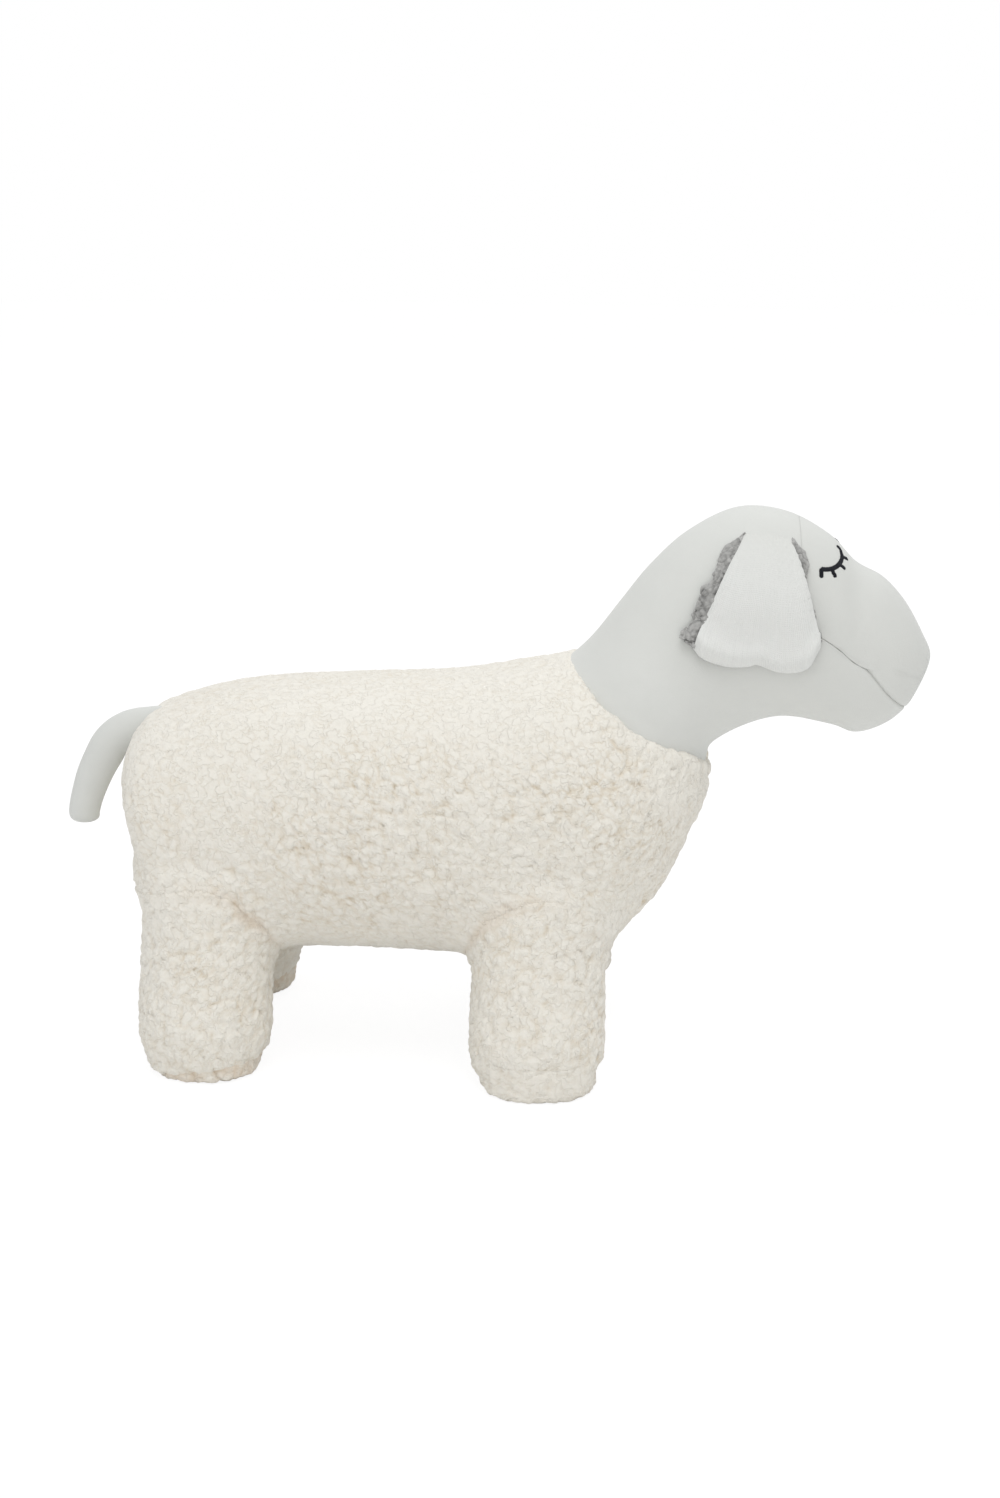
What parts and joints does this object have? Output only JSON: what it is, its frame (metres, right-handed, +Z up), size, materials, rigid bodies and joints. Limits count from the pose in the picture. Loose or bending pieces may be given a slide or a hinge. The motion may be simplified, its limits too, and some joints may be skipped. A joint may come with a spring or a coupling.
{
  "type": "plush sheep",
  "caption": "Standing plush sheep with a curly fleece body and legs, a smooth knit neck, face and tail, lined hanging ears and stitched closed eyes.",
  "frame": {"origin": "on the floor under the middle of the bounding box, midway between nose and tail and between left and right", "axes": "+X towards the nose, +Y towards the sheep's left side, +Z up"},
  "size_m": [0.4297, 0.1974, 0.2751],
  "materials": {
    "cream_fleece": "curly matte pile",
    "pale_knit": "smooth matte knit",
    "white_weave": "fine matte weave",
    "grey_curls": "curly matte pile",
    "black_thread": "satin stitch",
    "stuffing_fibre": "loose fibre"
  },
  "bodies": {
    "root": {"body_cover": "cream_fleece", "body_stuffing": "stuffing_fibre", "neck_cover": "pale_knit", "face_cover": "pale_knit", "head_stuffing": "stuffing_fibre", "eye_right": "black_thread", "eye_left": "black_thread", "leg_cover_front_right": "cream_fleece", "leg_cover_front_left": "cream_fleece", "leg_cover_rear_right": "cream_fleece", "leg_cover_rear_left": "cream_fleece", "leg_stuffing_front_right": "stuffing_fibre", "leg_stuffing_front_left": "stuffing_fibre", "leg_stuffing_rear_right": "stuffing_fibre", "leg_stuffing_rear_left": "stuffing_fibre", "foot_sole_front_right": "cream_fleece", "foot_sole_front_left": "cream_fleece", "foot_sole_rear_right": "cream_fleece", "foot_sole_rear_left": "cream_fleece"},
    "ear_right": {"ear_outer_right": "white_weave", "ear_lining_right": "grey_curls"},
    "ear_left": {"ear_outer_left": "white_weave", "ear_lining_left": "grey_curls"},
    "tail": {"tail_cover": "pale_knit", "tail_stuffing": "stuffing_fibre"}
  },
  "joints": [
    {"name": "ear_right_lift", "type": "hinge", "parent": "root", "child": "ear_right", "pos_m": [0.13249, -0.02164, 0.2702], "axis": [-1, 0, 0], "range_deg": [0, 110]},
    {"name": "ear_left_lift", "type": "hinge", "parent": "root", "child": "ear_left", "pos_m": [0.13249, 0.02164, 0.2702], "axis": [1, 0, 0], "range_deg": [0, 110]},
    {"name": "tail_lift", "type": "hinge", "parent": "root", "child": "tail", "pos_m": [-0.172, 0, 0.15784], "axis": [0, 1, 0], "range_deg": [0, 60]}
  ]
}
